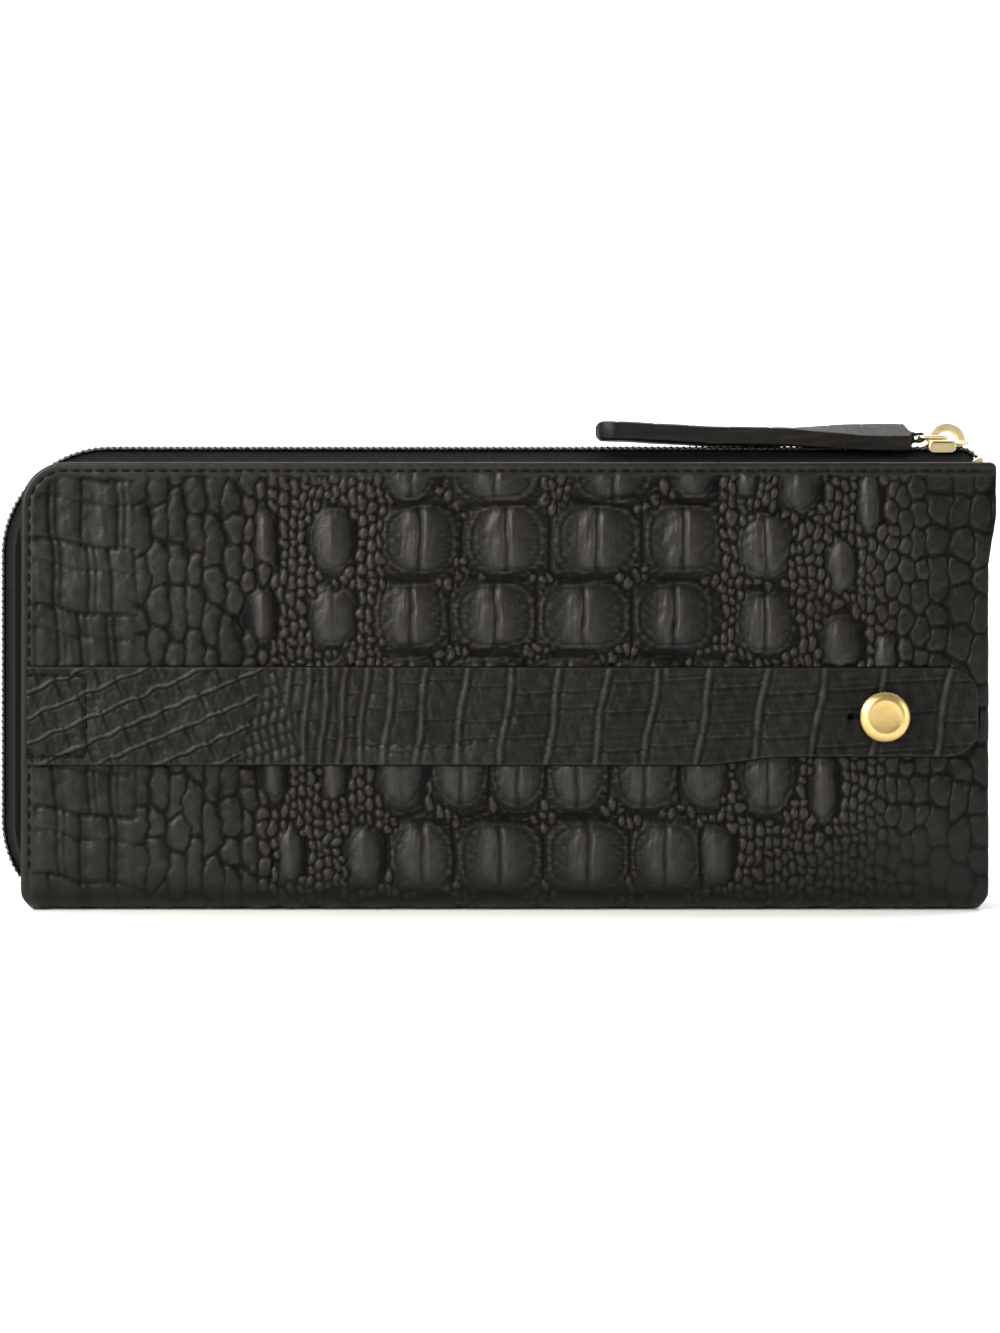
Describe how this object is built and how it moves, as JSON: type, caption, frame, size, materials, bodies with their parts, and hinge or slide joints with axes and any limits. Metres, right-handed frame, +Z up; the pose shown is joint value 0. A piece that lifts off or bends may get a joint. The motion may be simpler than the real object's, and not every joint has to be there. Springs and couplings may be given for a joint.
{
  "type": "zip wallet",
  "caption": "Long dark brown crocodile-embossed leather wallet with an L-shaped coil zip, a leather pull tab and a snap strap buttoned on a brass stud.",
  "frame": {"origin": "centre of the flat strip under the spine, on which the wallet stands", "axes": "+X along the wallet towards the stud, -Y out of the front cover, +Z up towards the zip"},
  "size_m": [0.2214, 0.0277, 0.1084],
  "materials": {
    "croc_leather": "satin",
    "tab_leather": "satin",
    "inner_leather": "matte",
    "board": "matte",
    "lining": "matte",
    "zip_tape": "matte",
    "zip_coil": "satin",
    "gold_metal": "satin",
    "brass": "polished",
    "thread": "matte"
  },
  "bodies": {
    "back_cover": {"back_panel": "croc_leather", "spine": "croc_leather", "back_board": "board", "back_lining": "lining", "right_gusset": "inner_leather", "card_row_1": "inner_leather", "card_row_2": "inner_leather", "card_row_3": "inner_leather", "card_row_4": "inner_leather", "zip_tape_back": "zip_tape", "zip_coil_back": "zip_coil", "zip_bottom_stop": "gold_metal", "zip_top_stop_back": "gold_metal", "back_stitches": "thread"},
    "front_cover": {"front_panel": "croc_leather", "front_board": "board", "front_lining": "lining", "slip_pocket": "lining", "zip_tape_front": "zip_tape", "zip_coil_front": "zip_coil", "zip_top_stop_front": "gold_metal", "front_stitches": "thread", "strap_anchor": "croc_leather", "strap_stitches": "thread", "stud_head": "brass", "stud_post": "brass", "stud_washer": "brass"},
    "slider": {"zip_slider": "gold_metal"},
    "ring": {"pull_ring": "gold_metal"},
    "tab": {"pull_tab": "tab_leather"},
    "strap_flap": {"strap": "croc_leather"},
    "coin_leaf": {"coin_front_wall": "lining", "coin_back_wall": "lining", "coin_edge_fold": "lining", "coin_zip_tape_front": "zip_tape", "coin_zip_tape_back": "zip_tape", "coin_zip_coil": "zip_coil"},
    "coin_zip_slider": {"coin_slider": "gold_metal"},
    "coin_zip_puller": {"coin_puller": "gold_metal"}
  },
  "joints": [
    {"name": "cover_hinge", "type": "hinge", "parent": "back_cover", "child": "front_cover", "pos_m": [0, -0.012, 0.008], "axis": [1, 0, 0], "range_deg": [0, 30], "deforming": ["right_gusset"]},
    {"name": "zip_slide", "type": "slide", "parent": "back_cover", "child": "slider", "axis": [1, 0, 0], "range_m": [-0.18, 0]},
    {"name": "ring_hinge", "type": "hinge", "parent": "slider", "child": "ring", "pos_m": [0.0982, 0, 0.10505], "axis": [0, 1, 0], "range_deg": [0, 120]},
    {"name": "tab_hinge", "type": "hinge", "parent": "ring", "child": "tab", "pos_m": [0.0924, 0, 0.10505], "axis": [0, 1, 0], "range_deg": [0, 45]},
    {"name": "strap_hinge", "type": "hinge", "parent": "front_cover", "child": "strap_flap", "pos_m": [-0.0922, -0.0134, 0.0432], "axis": [0, 0, -1], "range_deg": [0, 170]},
    {"name": "leaf_hinge", "type": "hinge", "parent": "back_cover", "child": "coin_leaf", "pos_m": [0, -0.0006, 0.002], "axis": [1, 0, 0], "range_deg": [0, 15]},
    {"name": "coin_zip_slide", "type": "slide", "parent": "coin_leaf", "child": "coin_zip_slider", "axis": [1, 0, 0], "range_m": [-0.165, 0]},
    {"name": "coin_puller_hinge", "type": "hinge", "parent": "coin_zip_slider", "child": "coin_zip_puller", "pos_m": [0.0765, -0.0006, 0.093], "axis": [0, 1, 0], "range_deg": [0, 20]}
  ],
  "couplings": [
    {"joint": "leaf_hinge", "follows": "cover_hinge", "ratio": 0.5}
  ]
}
